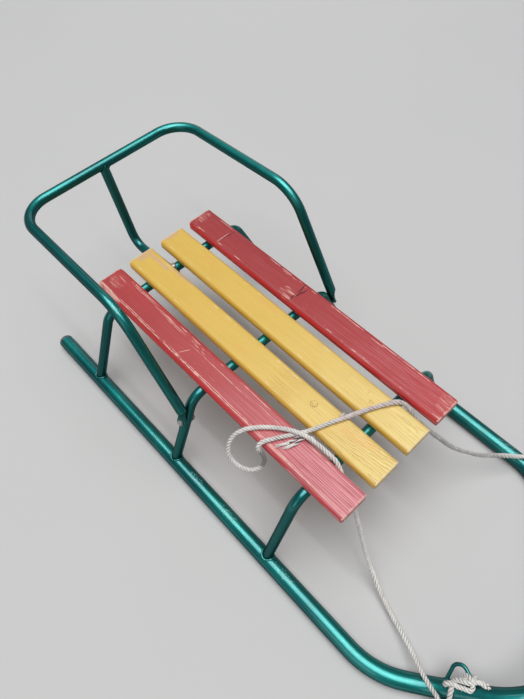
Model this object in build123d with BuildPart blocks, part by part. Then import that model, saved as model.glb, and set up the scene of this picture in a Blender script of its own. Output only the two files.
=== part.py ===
from build123d import *

import math
import os

# A childrens sled: four wooden slats on three bent hoops, whose legs stand in one long
# runner tube that turns round the front as a bow. A second bent tube is the backrest, and a
# rope is tied to an eye on each side of the bow.
# Millimetres. +X is forward, +Y the rider's left, +Z up. The origin is on the ground,
# midway between the back bar and the bow's tip. Stations along X are first measured
# forward from the rear ends of the slats.

# Slats
slat_length = 540
slat_width = 50
slat_thickness = 16
slat_edge_radius = 7
slat_under_radius = 5.5
slat_end_radius = 2
slat_corner_radius = 5
worn_corner_radius = 10
worn_slat = "slat_right_outer"
middle_gap = 16.5
side_gap = 14
seat_height = 175

# Runner, one tube from the right rear end round the bow to the left rear end
runner_diameter = 25
runner_wall = 1.5
runner_gauge = 398
runner_overhang = 65
side_bend_station = 683
side_bend_angle = 35
side_bend_radius = 130
rise_distance = 70
rise_angle = 30
rise_bend_radius = 100
nose_radius = 138

# Tube of the hoops, the backrest and its strut
tube_diameter = 16
tube_wall = 1.5

# Hoops under the slats
first_hoop_station = 47
hoop_pitch = 215
shoulder_span = 276
shoulder_radius = 30

# Backrest loop
back_bar_station = -106
back_bar_height = 283
back_span = 320
back_corner_radius = 50
arm_span = 322
arm_bend_radius = 65
right_arm_bend_station = 162
right_arm_bend_height = 290.5
left_arm_bend_station = 168
left_arm_bend_height = 298
loop_bolt_height = 105

# Pressed ends of the backrest tubes
tab_width = 17
tab_thickness = 4
tab_reach = 9
press_length = 19

# Strut from the back bar to the rear hoop
strut_offset = -2
strut_foot_station = -69
strut_foot_height = 127
strut_bend_radius = 26

# Fasteners
bolt_diameter = 6
bolt_head_diameter = 10
bolt_head_height = 3
bolt_head_rounding = 2.4
bolt_tip = 2
nut_width = 10
nut_height = 5
screw_diameter = 4.5
screw_head_diameter = 9
screw_head_height = 2.5
screw_bite = 10
screw_hole_depth = 10.5
hole_clearance = 0.2

# Tow eyes and end plugs
eye_rod = 5
eye_width = 35
eye_depth = 19
eye_top_width = 12
eye_top_radius = 9
eye_distance = 46
eye_tilt = 15
plug_length = 8
plug_stem = 14
plug_rim = 1.5

# Welds
weld_size = 3
weld_height = 2

# Tow rope and its knots on the eyes. A knot's exit is where the rope leaves it and passes
# over the bow: how far along the bow from the eye's middle, from the tube's axis, and the angle.
rope_diameter = 6
rope_play = 0.3
rope_arc_share = 0.45
knot_exit = [(-5.6, 18.5, 72), (-7, 18.3, 94), (-9.5, 18.8, 124), (-14, 17.8, 160)]
knot_diameter = 12
knot_length = 32
knot_rounding = 5
knot_shift = 5
knot_tilt = 57


def folder(path):
    os.makedirs(path, exist_ok=True)
    return path


def save(builder, name):
    builder.part.label = name
    export_step(builder.part, f"{parts}/{name}.step")


parts = folder("parts")

# The bow: direction of the tube past both bends, and its tip
side_turn = math.radians(side_bend_angle)
rise_turn = math.radians(rise_angle)
runner_z = runner_diameter / 2
rise_station = side_bend_station + rise_distance * math.cos(side_turn)
rise_y = runner_gauge / 2 - rise_distance * math.sin(side_turn)
bow_forward = math.cos(rise_turn) * math.cos(side_turn)
bow_inward = math.cos(rise_turn) * math.sin(side_turn)
bow_up = math.sin(rise_turn)
bow_run = rise_y / bow_inward
bow_slope = math.atan2(bow_up, bow_forward)
nose_setback = nose_radius * (1 / bow_inward - 1)
nose_station = rise_station + bow_run * bow_forward - nose_setback * math.cos(bow_slope)

# Everything is placed from the middle of the whole length
rear_extent = back_bar_station - tube_diameter / 2
front_extent = nose_station + runner_diameter / 2
middle_station = (rear_extent + front_extent) / 2


def along(station):
    return station - middle_station


# Heights and leg directions that several pieces share
bar_z = seat_height - slat_thickness - tube_diameter / 2
hoop_places = {
    "rear": along(first_hoop_station),
    "middle": along(first_hoop_station + hoop_pitch),
    "front": along(first_hoop_station + 2 * hoop_pitch),
}
leg_run = (runner_gauge - shoulder_span) / 2
leg_drop = bar_z - runner_z
leg_lean = math.atan2(leg_run, leg_drop)
sides = {"right": -1, "left": 1}


def leg_up(side):
    return Vector(0, -side * math.sin(leg_lean), math.cos(leg_lean))


def leg_outward(side):
    return Vector(0, side * math.cos(leg_lean), math.sin(leg_lean))


def leg_point(x, side, height):
    reach = runner_gauge / 2 - (height - runner_z) * math.tan(leg_lean)
    return Vector(x, side * reach, height)


# Slat rows, from the rider's right to left
inner_y = (middle_gap + slat_width) / 2
outer_y = inner_y + slat_width + side_gap
slat_rows = {
    "slat_right_outer": -outer_y,
    "slat_right_inner": -inner_y,
    "slat_left_inner": inner_y,
    "slat_left_outer": outer_y,
}
slat_bottom = seat_height - slat_thickness
slat_middle = seat_height - slat_thickness / 2

for name, y in slat_rows.items():
    with BuildPart() as slat:
        # The board's section, then its rounded ends as seen from the side and from above
        with BuildSketch(Plane.YZ.offset(along(0))) as section:
            with Locations((y, slat_middle)):
                Rectangle(slat_width, slat_thickness)
            fillet(section.vertices().group_by(Axis.Y)[-1], slat_edge_radius)
            fillet(section.vertices().group_by(Axis.Y)[0], slat_under_radius)
        extrude(amount=slat_length)
        with BuildSketch(Plane.XZ.offset(-y - slat_width / 2)):
            with Locations((along(slat_length / 2), slat_middle)):
                RectangleRounded(slat_length, slat_thickness, slat_end_radius)
        extrude(amount=slat_width, mode=Mode.INTERSECT)
        with BuildSketch(Plane.XY.offset(slat_bottom)) as plan:
            with Locations((along(slat_length / 2), y)):
                Rectangle(slat_length, slat_width)
            rear_radius = worn_corner_radius if name == worn_slat else slat_corner_radius
            fillet(plan.vertices().group_by(Axis.X)[0], rear_radius)
            fillet(plan.vertices().group_by(Axis.X)[-1], slat_corner_radius)
        extrude(amount=slat_thickness, mode=Mode.INTERSECT)
        with BuildSketch(Plane.XY.offset(slat_bottom)):
            with Locations(*[(x, y) for x in hoop_places.values()]):
                Circle((screw_diameter + hole_clearance) / 2)
        extrude(amount=screw_hole_depth, mode=Mode.SUBTRACT)
    save(slat, name)

# Runner tube
runner_rear = along(-runner_overhang)
half_gauge = runner_gauge / 2
side_corner = (along(side_bend_station), half_gauge, runner_z)
rise_corner = (along(rise_station), rise_y, runner_z)
nose_corner = (along(rise_station) + bow_run * bow_forward, 0, runner_z + bow_run * bow_up)


def across(point, side):
    return (point[0], side * point[1], point[2])


with BuildPart() as runner:
    with BuildLine() as runner_line:
        FilletPolyline(
            (runner_rear, -half_gauge, runner_z),
            across(side_corner, -1),
            across(rise_corner, -1),
            nose_corner,
            across(rise_corner, 1),
            across(side_corner, 1),
            (runner_rear, half_gauge, runner_z),
            radius=[side_bend_radius, rise_bend_radius, nose_radius, rise_bend_radius, side_bend_radius],
        )
    with BuildSketch(Plane(origin=runner_line.line @ 0, z_dir=runner_line.line % 0)):
        Circle(runner_diameter / 2)
        Circle(runner_diameter / 2 - runner_wall, mode=Mode.SUBTRACT)
    sweep()
    # Each leg of a hoop stands in a hole through the runner's upper wall
    for x in hoop_places.values():
        for side in sides.values():
            with BuildSketch(Plane(origin=(x, side * half_gauge, runner_z), z_dir=leg_up(side))):
                Circle((tube_diameter + hole_clearance) / 2)
            extrude(amount=runner_diameter, mode=Mode.SUBTRACT)
save(runner, "runner_tube")

# Hoops
half_shoulder = shoulder_span / 2
for place, x in hoop_places.items():
    with BuildPart() as hoop:
        with BuildLine() as hoop_line:
            FilletPolyline(
                (x, -half_gauge, runner_z),
                (x, -half_shoulder, bar_z),
                (x, half_shoulder, bar_z),
                (x, half_gauge, runner_z),
                radius=shoulder_radius,
            )
        with BuildSketch(Plane(origin=hoop_line.line @ 0, z_dir=hoop_line.line % 0)):
            Circle(tube_diameter / 2)
            Circle(tube_diameter / 2 - tube_wall, mode=Mode.SUBTRACT)
        sweep()
        with BuildSketch(Plane.XY.offset(bar_z - tube_diameter)):
            with Locations(*[(x, y) for y in slat_rows.values()]):
                Circle((screw_diameter + hole_clearance) / 2)
        extrude(amount=2 * tube_diameter, mode=Mode.SUBTRACT)
        if place == "rear":
            with BuildSketch(Plane.XY.offset(bar_z - tube_diameter)):
                with Locations((x, strut_offset)):
                    Circle((bolt_diameter + hole_clearance) / 2)
            extrude(amount=2 * tube_diameter, mode=Mode.SUBTRACT)
        if place == "middle":
            for side in sides.values():
                centre = leg_point(x, side, loop_bolt_height)
                bore_start = centre - leg_outward(side) * tube_diameter
                with BuildSketch(Plane(origin=bore_start, z_dir=leg_outward(side))):
                    Circle((bolt_diameter + hole_clearance) / 2)
                extrude(amount=2 * tube_diameter, mode=Mode.SUBTRACT)
    save(hoop, f"hoop_{place}")


# A tube's end pressed to a flat tab: hole is the middle of the tab's bolt hole, up runs
# from it to the tube, out is the tab's normal, and start and run are where the tube is
# still round and the way it goes.
def pressed_end(hole, up, out, start, run):
    with BuildSketch(Plane(origin=start, x_dir=up.cross(out), z_dir=run)) as round_section:
        Circle(tube_diameter / 2)
    with BuildSketch(Plane(origin=hole + up * tab_reach, x_dir=up.cross(out), z_dir=up)) as flat_section:
        SlotOverall(tab_width, tab_thickness)
    loft([flat_section.sketch.face(), round_section.sketch.face()])
    with BuildSketch(Plane(origin=hole - out * (tab_thickness / 2), x_dir=up, z_dir=out)) as tab:
        Circle(tab_width / 2)
        with Locations((tab_reach / 2, 0)):
            Rectangle(tab_reach, tab_width)
        Circle((bolt_diameter + hole_clearance) / 2, mode=Mode.SUBTRACT)
    extrude(tab.sketch, amount=tab_thickness)


# Backrest loop: back bar, two arms and two legs whose pressed ends lie on the middle hoop
back_x = along(back_bar_station)
back_corner = (back_x, back_span / 2, back_bar_height)
arm_bends = {
    "right": Vector(along(right_arm_bend_station), -arm_span / 2, right_arm_bend_height),
    "left": Vector(along(left_arm_bend_station), arm_span / 2, left_arm_bend_height),
}
loop_holes = {}
loop_starts = {}
for name, side in sides.items():
    out = leg_outward(side)
    seat = tube_diameter / 2 + tab_thickness / 2
    hole = leg_point(hoop_places["middle"], side, loop_bolt_height) + out * seat
    loop_holes[name] = hole
    rise = (tube_diameter - tab_thickness) / 2 + hole_clearance
    loop_starts[name] = hole + leg_up(side) * (tab_reach + press_length) + out * rise

with BuildPart() as loop:
    with BuildLine() as loop_line:
        FilletPolyline(
            loop_starts["right"],
            arm_bends["right"],
            across(back_corner, -1),
            across(back_corner, 1),
            arm_bends["left"],
            loop_starts["left"],
            radius=[arm_bend_radius, back_corner_radius, back_corner_radius, arm_bend_radius],
        )
    with BuildSketch(Plane(origin=loop_line.line @ 0, z_dir=loop_line.line % 0)):
        Circle(tube_diameter / 2)
        Circle(tube_diameter / 2 - tube_wall, mode=Mode.SUBTRACT)
    sweep()
    for name, side in sides.items():
        run = (arm_bends[name] - loop_starts[name]).normalized()
        pressed_end(loop_holes[name], leg_up(side), leg_outward(side), loop_starts[name], run)
save(loop, "backrest_loop")

# Strut: from the back bar down behind the slats, then forward under the rear hoop's bar
strut_top = Vector(back_x, strut_offset, back_bar_height)
strut_corner = Vector(along(strut_foot_station), strut_offset, strut_foot_height)
strut_hole = Vector(hoop_places["rear"], strut_offset, bar_z - tube_diameter / 2 - tab_thickness / 2)
strut_start = strut_hole - Vector(tab_reach + press_length, 0, tube_diameter / 4)
with BuildPart() as strut:
    with BuildLine() as strut_line:
        FilletPolyline(strut_start, strut_corner, strut_top, radius=strut_bend_radius)
    with BuildSketch(Plane(origin=strut_line.line @ 0, z_dir=strut_line.line % 0)):
        Circle(tube_diameter / 2)
        Circle(tube_diameter / 2 - tube_wall, mode=Mode.SUBTRACT)
    sweep()
    with BuildSketch(Plane.XZ.offset(-tube_diameter)):
        with Locations((back_x, back_bar_height)):
            Circle((tube_diameter + hole_clearance) / 2)
    extrude(amount=2 * tube_diameter, mode=Mode.SUBTRACT)
    strut_run = (strut_corner - strut_start).normalized()
    pressed_end(strut_hole, Vector(-1, 0, 0), Vector(0, 0, -1), strut_start, strut_run)
save(strut, "backrest_strut")


# A round-headed bolt with its nut. head is the middle of the surface under the head, and
# way points from the head to the nut.
def bolt_and_nut(head, way, grip):
    with BuildSketch(Plane(origin=head, z_dir=-way)) as head_outline:
        Circle(bolt_head_diameter / 2)
    extrude(head_outline.sketch, amount=bolt_head_height)
    fillet(faces().sort_by(Axis(head, -way))[-1].edges(), bolt_head_rounding)
    with BuildSketch(Plane(origin=head, z_dir=way)) as shank:
        Circle(bolt_diameter / 2)
    extrude(shank.sketch, amount=grip + nut_height + bolt_tip)
    with BuildSketch(Plane(origin=head + way * grip, z_dir=way)) as nut:
        RegularPolygon(nut_width / 2, 6, major_radius=False)
    extrude(nut.sketch, amount=nut_height)


for name, side in sides.items():
    with BuildPart() as bolt:
        head = loop_holes[name] + leg_outward(side) * (tab_thickness / 2)
        bolt_and_nut(head, -leg_outward(side), tab_thickness + tube_diameter)
    save(bolt, f"loop_bolt_{name}")

with BuildPart() as strut_bolt:
    head = Vector(hoop_places["rear"], strut_offset, bar_z + tube_diameter / 2)
    bolt_and_nut(head, Vector(0, 0, -1), tab_thickness + tube_diameter)
save(strut_bolt, "strut_bolt")

# Screws up through each hoop's bar into the slats
for place, x in hoop_places.items():
    with BuildPart() as screws:
        bar_under = bar_z - tube_diameter / 2
        with BuildSketch(Plane.XY.offset(bar_under - screw_head_height)):
            with Locations(*[(x, y) for y in slat_rows.values()]):
                Circle(screw_head_diameter / 2)
        extrude(amount=screw_head_height)
        with BuildSketch(Plane.XY.offset(bar_under)):
            with Locations(*[(x, y) for y in slat_rows.values()]):
                Circle(screw_diameter / 2)
        extrude(amount=tube_diameter + screw_bite)
    save(screws, f"slat_screws_{place}")

# Tow eyes: a bent rod on the inner side of the bow, one each side. Beside each eye the tube
# is straight, and a place there is told by how far it lies along the tube, and how far from
# the tube's axis at an angle above the level inward direction.
def beside_bow(side, forward, distance, angle):
    tangent = Vector(bow_forward, -side * bow_inward, bow_up)
    inward = Vector(-math.sin(side_turn), -side * math.cos(side_turn), 0)
    above = (Vector(0, 0, 1) - tangent * bow_up).normalized()
    turn = math.radians(angle)
    outward = inward * math.cos(turn) + above * math.sin(turn)
    start = Vector(*across(rise_corner, side))
    return start + tangent * (eye_distance + forward) + outward * distance


eye_foot = (runner_diameter - runner_wall) / 2
eye_apex = runner_diameter / 2 + eye_depth
for name, side in sides.items():
    with BuildPart() as eye:
        with BuildLine() as eye_line:
            FilletPolyline(
                beside_bow(side, -eye_width / 2, eye_foot, eye_tilt),
                beside_bow(side, -eye_top_width / 2, eye_apex, eye_tilt),
                beside_bow(side, eye_top_width / 2, eye_apex, eye_tilt),
                beside_bow(side, eye_width / 2, eye_foot, eye_tilt),
                radius=eye_top_radius,
            )
        with BuildSketch(Plane(origin=eye_line.line @ 0, z_dir=eye_line.line % 0)):
            Circle(eye_rod / 2)
        sweep()
        # The legs end on the bow's surface
        bow_start = beside_bow(side, -eye_width, 0, 0)
        with BuildSketch(Plane(origin=bow_start, z_dir=beside_bow(side, eye_width, 0, 0) - bow_start)):
            Circle(runner_diameter / 2)
        extrude(amount=2 * eye_width, mode=Mode.SUBTRACT)
    save(eye, f"tow_eye_{name}")

# End plugs of the runner tube
for name, side in sides.items():
    with BuildPart() as plug:
        with BuildSketch(Plane(origin=(runner_rear, side * half_gauge, runner_z), z_dir=(-1, 0, 0))):
            Circle(runner_diameter / 2)
        extrude(amount=plug_length)
        fillet(plug.faces().sort_by(Axis.X)[0].edges(), plug_length - plug_rim)
        with BuildSketch(Plane(origin=(runner_rear, side * half_gauge, runner_z), z_dir=(1, 0, 0))):
            Circle(runner_diameter / 2 - runner_wall - hole_clearance / 2)
        extrude(amount=plug_stem)
    save(plug, f"end_plug_{name}")

# Weld beads where the legs enter the runner
for place, x in hoop_places.items():
    with BuildPart() as welds:
        for side in sides.values():
            up = leg_up(side)
            axis_point = Vector(x, side * half_gauge, runner_z)
            with BuildSketch(Plane(origin=axis_point, z_dir=up)):
                Circle(tube_diameter / 2 + weld_size)
                Circle(tube_diameter / 2, mode=Mode.SUBTRACT)
            extrude(amount=runner_diameter / 2 + weld_height)
        for side in sides.values():
            with BuildSketch(Plane(origin=(x - tube_diameter, side * half_gauge, runner_z), z_dir=(1, 0, 0))):
                Circle(runner_diameter / 2)
            extrude(amount=2 * tube_diameter, mode=Mode.SUBTRACT)
    save(welds, f"foot_welds_{place}")

# Tow rope: over the bow beside each knot, and from the right side by way of the seat to the
# left. Its points are (station, y, z).
rope_route = [
    (762, -170, 16),
    (755, -181, 5),
    (748, -195, 3.8),
    (751, -212, 3.8),
    (766, -222, 3.8),
    (784, -219, 3.8),
    (795, -205, 4.2),
    (791, -188, 12),
    (776, -174, 26),
    (759.5, -163, 36),
    (742, -159, 34.5),
    (725, -152.5, 27),
    (701, -141, 20),
    (675, -131.5, 15),
    (649, -122.5, 12),
    (624, -113.5, 15),
    (593, -102, 30),
    (568, -93.5, 60),
    (545, -84.5, 96),
    (520, -74.5, 127),
    (498, -66, 152),
    (483, -65.5, 165.5),
    (467, -66.5, 169),
    (450, -69, 176.5),
    (432, -74.5, 185.8),
    (412, -82.5, 185.8),
    (396, -91, 180.5),
    (383, -101.5, 178.9),
    (372, -113.5, 179.2),
    (362, -128.5, 179),
    (356, -146, 170),
    (364, -160.5, 153),
    (381, -160.5, 140),
    (396.5, -152, 133),
    (406.5, -139.5, 135),
    (408, -129.5, 149),
    (402.5, -128.5, 163),
    (395, -131.5, 174.5),
    (394, -124.5, 181.5),
    (399, -112, 179.2),
    (407.5, -97, 178.8),
    (418.5, -79.6, 178.8),
    (428.5, -62, 178.8),
    (438, -37, 178.8),
    (449.5, -11, 178.8),
    (460.5, 15.5, 178.8),
    (473.5, 41, 179),
    (481.5, 54.5, 180.5),
    (489.5, 64, 173),
    (500.5, 66.5, 162),
    (516, 66, 154.5),
    (537.5, 69, 145),
    (556, 91, 107),
    (567.5, 105.5, 80),
    (582, 122, 63),
    (596, 136, 51.5),
    (609, 150.5, 44),
    (622, 166.5, 39.5),
    (634, 181, 35),
    (645, 192.5, 31.5),
    (657.5, 204.5, 31.5),
    (668, 215, 22),
    (679, 221, 9.5),
    (695, 222, 4),
    (714, 216, 3.8),
    (734, 210, 3.8),
    (753, 203, 3.8),
    (769, 192, 3.8),
    (773, 179, 9),
]
rope_line_points = [Vector(along(station), y, z) for station, y, z in rope_route]


# The rope leaves a knot towards the bow's rear and passes over the tube to its outer side
def knot_end(side):
    return [beside_bow(side, forward, distance, angle) for forward, distance, angle in knot_exit]


rope_points = knot_end(-1) + rope_line_points + knot_end(1)[::-1]
rope_radii = []
for before, corner, after in zip(rope_points, rope_points[1:], rope_points[2:]):
    turn = math.radians((corner - before).get_angle(after - corner))
    run = min((corner - before).length, (after - corner).length)
    rope_radii.append(rope_arc_share * run / math.tan(turn / 2))
with BuildPart() as rope:
    with BuildLine() as rope_line:
        FilletPolyline(*rope_points, radius=rope_radii)
    with BuildSketch(Plane(origin=rope_line.line @ 0, z_dir=rope_line.line % 0)):
        Circle(rope_diameter / 2)
    sweep()
save(rope, "tow_rope")

# Knots: the lump beside each eye, and the turn of rope round the eye's front leg
knot_seat = (runner_diameter + knot_diameter) / 2 + rope_play
turn_radius = (eye_rod + rope_diameter) / 2 + rope_play
rod_lean = math.atan2((eye_width - eye_top_width) / 2, eye_apex - eye_foot)
turn_distance = (runner_diameter + rope_diameter) / 2 + rope_play + turn_radius * math.sin(rod_lean)
for name, side in sides.items():
    with BuildPart() as knot:
        lump_end = beside_bow(side, knot_shift - knot_length / 2, knot_seat, knot_tilt)
        forward = (beside_bow(side, 1, 0, 0) - beside_bow(side, 0, 0, 0)).normalized()
        with BuildSketch(Plane(origin=lump_end, z_dir=forward)):
            Circle(knot_diameter / 2)
        extrude(amount=knot_length)
        fillet(knot.edges().filter_by(GeomType.CIRCLE), knot_rounding)
        rod_foot = beside_bow(side, eye_width / 2, eye_foot, eye_tilt)
        rod_run = beside_bow(side, eye_top_width / 2, eye_apex, eye_tilt) - rod_foot
        rod_way = rod_run.normalized()
        rod_middle = rod_foot + rod_run * ((turn_distance - eye_foot) / (eye_apex - eye_foot))
        rod_side = (forward - rod_way * forward.dot(rod_way)).normalized()
        turn_place = rod_middle + rod_side * turn_radius
        with BuildSketch(Plane(origin=turn_place, x_dir=rod_side, z_dir=rod_way.cross(rod_side))):
            Circle(rope_diameter / 2)
        revolve(axis=Axis(rod_middle, rod_way))
        add(rope.part, mode=Mode.SUBTRACT)
    save(knot, f"rope_knot_{name}")

print("length", round(front_extent - rear_extent, 1), "middle station", round(middle_station, 1))
print("hoops at", {place: round(x, 1) for place, x in hoop_places.items()})
nose_height = runner_z + (nose_station - rise_station) * math.tan(bow_slope)
print("nose height", round(nose_height, 1))
rope_length = sum(edge.length for edge in rope_line.edges())
rope_section = math.pi * rope_diameter**2 / 4
print("rope length", round(rope_length, 1))
print("rope volume against its section", round(rope.part.volume / rope_length / rope_section, 4))
print("rope radii", [round(radius, 1) for radius in rope_radii])
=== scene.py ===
import math
import random
from functools import partial, reduce

import bmesh
import bpy
from mathutils import Matrix, Quaternion, Vector


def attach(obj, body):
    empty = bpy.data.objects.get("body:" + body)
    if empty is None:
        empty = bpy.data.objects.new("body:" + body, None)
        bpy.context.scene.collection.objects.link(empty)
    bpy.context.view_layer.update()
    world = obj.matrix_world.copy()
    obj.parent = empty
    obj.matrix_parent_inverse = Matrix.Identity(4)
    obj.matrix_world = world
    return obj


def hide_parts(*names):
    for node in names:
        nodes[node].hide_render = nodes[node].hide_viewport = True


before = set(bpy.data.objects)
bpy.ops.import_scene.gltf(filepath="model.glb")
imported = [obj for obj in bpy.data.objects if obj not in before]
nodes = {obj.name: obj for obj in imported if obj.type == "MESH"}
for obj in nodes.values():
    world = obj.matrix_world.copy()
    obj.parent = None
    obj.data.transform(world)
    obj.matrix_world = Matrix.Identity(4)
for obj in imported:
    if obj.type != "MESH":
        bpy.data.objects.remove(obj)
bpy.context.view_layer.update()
bpy.ops.object.select_all(action="DESELECT")

# The camera stands where the photograph was taken from
view = {
    "place": (0.25922, -0.31756, 0.891),
    "heading": 139.449,  # degrees round from +X, the way it looks
    "down": 57.219,  # degrees below level
    "roll": -3.391,
    "lens": 29.259,  # mm for a long side of 36 mm
}


def addObject(name, data):
    made = bpy.data.objects.new(name, data)
    bpy.context.scene.collection.objects.link(made)
    return made


def addCamera():
    data = bpy.data.cameras.new("camera")
    data.sensor_width = 36
    data.lens = view["lens"]
    camera = addObject("camera", data)
    heading = math.radians(view["heading"])
    down = math.radians(view["down"])
    level = math.cos(down)
    ahead = Vector((level * math.cos(heading), level * math.sin(heading), -math.sin(down)))
    camera.location = view["place"]
    camera.rotation_mode = "QUATERNION"
    roll = Quaternion((0, 0, 1), math.radians(view["roll"]))
    camera.rotation_quaternion = ahead.to_track_quat("-Z", "Y") @ roll
    bpy.context.scene.camera = camera


addCamera()
print("camera set")

# The sled's main measures, in metres
sled = {
    "slatRear": -0.3757,
    "slatLength": 0.54,
    "slatTop": 0.175,
    "arris": 0.0189,  # from the middle of a slat to where its top starts to round off
    "rows": {
        "slat_right_outer": -0.09725,
        "slat_right_inner": -0.03325,
        "slat_left_inner": 0.03325,
        "slat_left_outer": 0.09725,
    },
    "hoops": {"rear": -0.3287, "middle": -0.1137, "front": 0.1013},
    "halfGauge": 0.199,
    "runnerRadius": 0.0125,
    "legLean": 0.41487,  # radians inward from upright
    "bowStart": (0.36464, 0.15885, 0.0125),  # corner where the left side of the bow starts to rise
    "bowWay": (0.70941, -0.49673, 0.5),
    "bowInward": (-0.57358, -0.81915, 0),
    "eyeAlong": 0.046,
}


# A place by the bow: forward from the eye, then a distance out at an angle from inward
def besideBow(side, forward, distance, angle):
    start, way, inward = [
        Vector((x, side * y, z)) for x, y, z in (sled["bowStart"], sled["bowWay"], sled["bowInward"])
    ]
    above = (Vector((0, 0, 1)) - way * way.z).normalized()
    turn = math.radians(angle)
    outward = inward * math.cos(turn) + above * math.sin(turn)
    return start + way * (sled["eyeAlong"] + forward) + outward * distance


# Tow rope
rope = {
    "diameter": 0.006,
    "strands": 3,
    "strandRadius": 0.00172,
    "strandOffset": 0.00166,
    "pitch": 0.0145,
    "step": 0.0013,
    "sides": 8,
    # looser places: centre, reach, how much
    "loose": [
        ((0.075, -0.01, 0.179), 0.05, 0.22),
        ((0.104, 0.05, 0.18), 0.022, 0.7),
        ((0.128, 0.066, 0.16), 0.022, 0.5),
        ((0.185, 0.095, 0.095), 0.055, 0.55),
        ((0.245, 0.16, 0.042), 0.06, 0.65),
        ((0.1, -0.066, 0.168), 0.035, 0.5),
        ((0.232, -0.108, 0.022), 0.022, 0.75),
        ((0.384, -0.141, 0.048), 0.016, 0.25),
        ((0.384, 0.141, 0.048), 0.016, 0.25),
    ],
    "hairs": 700,
    "hairLength": 0.006,
    "hairRadius": 0.00007,
}
knotEnd = [(0.3828, -0.1391, 0.0479), (0.3856, -0.1458, 0.0478), (0.3902, -0.1538, 0.0442), (0.3944, -0.1584, 0.0338)]
# Its route from the right knot to the left one, as (station from the slats' rear ends, across, up)
ropeRoute = [
    (0.762, -0.17, 0.016), (0.755, -0.181, 0.005), (0.748, -0.195, 0.0038), (0.751, -0.212, 0.0038),
    (0.766, -0.222, 0.0038), (0.784, -0.219, 0.0038), (0.795, -0.205, 0.0042), (0.791, -0.188, 0.012),
    (0.776, -0.174, 0.026), (0.7595, -0.163, 0.036), (0.742, -0.159, 0.0345), (0.725, -0.1525, 0.027),
    (0.701, -0.141, 0.02), (0.675, -0.1315, 0.015), (0.649, -0.1225, 0.012), (0.624, -0.1135, 0.015),
    (0.593, -0.102, 0.03), (0.568, -0.0935, 0.06), (0.545, -0.0845, 0.096), (0.52, -0.0745, 0.127),
    (0.4985, -0.0715, 0.15), (0.483, -0.0655, 0.1655), (0.467, -0.0665, 0.169), (0.45, -0.069, 0.1765),
    (0.432, -0.0745, 0.1858), (0.412, -0.0825, 0.1858), (0.396, -0.091, 0.1805), (0.383, -0.1015, 0.1789),
    (0.372, -0.1135, 0.1792), (0.362, -0.1285, 0.179), (0.356, -0.146, 0.17), (0.364, -0.1605, 0.153),
    (0.381, -0.1605, 0.14), (0.3965, -0.152, 0.133), (0.4065, -0.1395, 0.135), (0.408, -0.1295, 0.149),
    (0.4025, -0.1285, 0.163), (0.395, -0.1315, 0.1745), (0.394, -0.1245, 0.1815), (0.399, -0.112, 0.1792),
    (0.4075, -0.097, 0.1788), (0.4185, -0.0796, 0.1788), (0.4285, -0.062, 0.1788), (0.438, -0.037, 0.1788),
    (0.4495, -0.011, 0.1788), (0.4605, 0.0155, 0.1788), (0.4735, 0.041, 0.179), (0.4815, 0.0545, 0.1805),
    (0.4895, 0.064, 0.173), (0.5005, 0.0665, 0.162), (0.516, 0.066, 0.1545), (0.5375, 0.069, 0.145),
    (0.556, 0.091, 0.107), (0.5675, 0.1055, 0.08), (0.582, 0.122, 0.063), (0.596, 0.136, 0.0515),
    (0.609, 0.1505, 0.044), (0.622, 0.1665, 0.0395), (0.634, 0.181, 0.035), (0.645, 0.1925, 0.0315),
    (0.6575, 0.2045, 0.0315), (0.668, 0.215, 0.022), (0.679, 0.221, 0.0095), (0.695, 0.222, 0.004),
    (0.714, 0.216, 0.0038), (0.734, 0.21, 0.0038), (0.753, 0.203, 0.0038), (0.769, 0.192, 0.0038),
    (0.773, 0.179, 0.009),
]


def smoothLine(points, name):
    data = bpy.data.curves.new(name, "CURVE")
    data.dimensions = "3D"
    spline = data.splines.new("NURBS")
    spline.points.add(len(points) - 1)
    for point, place in zip(spline.points, points):
        point.co = (*place, 1)
    spline.order_u = 3
    spline.use_endpoint_u = True
    spline.resolution_u = 14
    holder = addObject(name, data)
    bpy.context.view_layer.update()
    mesh = bpy.data.meshes.new_from_object(holder)
    line = [vertex.co.copy() for vertex in mesh.vertices]
    bpy.data.objects.remove(holder)
    bpy.data.curves.remove(data)
    bpy.data.meshes.remove(mesh)
    return line


def evenly(line, step):
    lengths = [0]
    for before, after in zip(line, line[1:]):
        lengths.append(lengths[-1] + (after - before).length)
    count = max(2, round(lengths[-1] / step))
    places = []
    at = 0
    for i in range(count + 1):
        want = lengths[-1] * i / count
        while at < len(line) - 2 and lengths[at + 1] < want:
            at += 1
        run = lengths[at + 1] - lengths[at]
        places.append(line[at].lerp(line[at + 1], (want - lengths[at]) / run if run else 0))
    return places, lengths[-1]


def framesAlong(places):
    frames = []
    across = None
    for i, place in enumerate(places):
        way = (places[min(i + 1, len(places) - 1)] - places[max(i - 1, 0)]).normalized()
        if across is None:
            across = way.orthogonal().normalized()
        across = (across - way * across.dot(way)).normalized()
        frames.append((place, way, across, way.cross(across)))
    return frames


# A mesh of tubes: "lay" runs round and along each tube, "out" is 0 in the grooves and 1 on the crests
def startTubes():
    mesh = bmesh.new()
    return mesh, mesh.loops.layers.uv.new("lay"), mesh.verts.layers.float.new("out")


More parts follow.
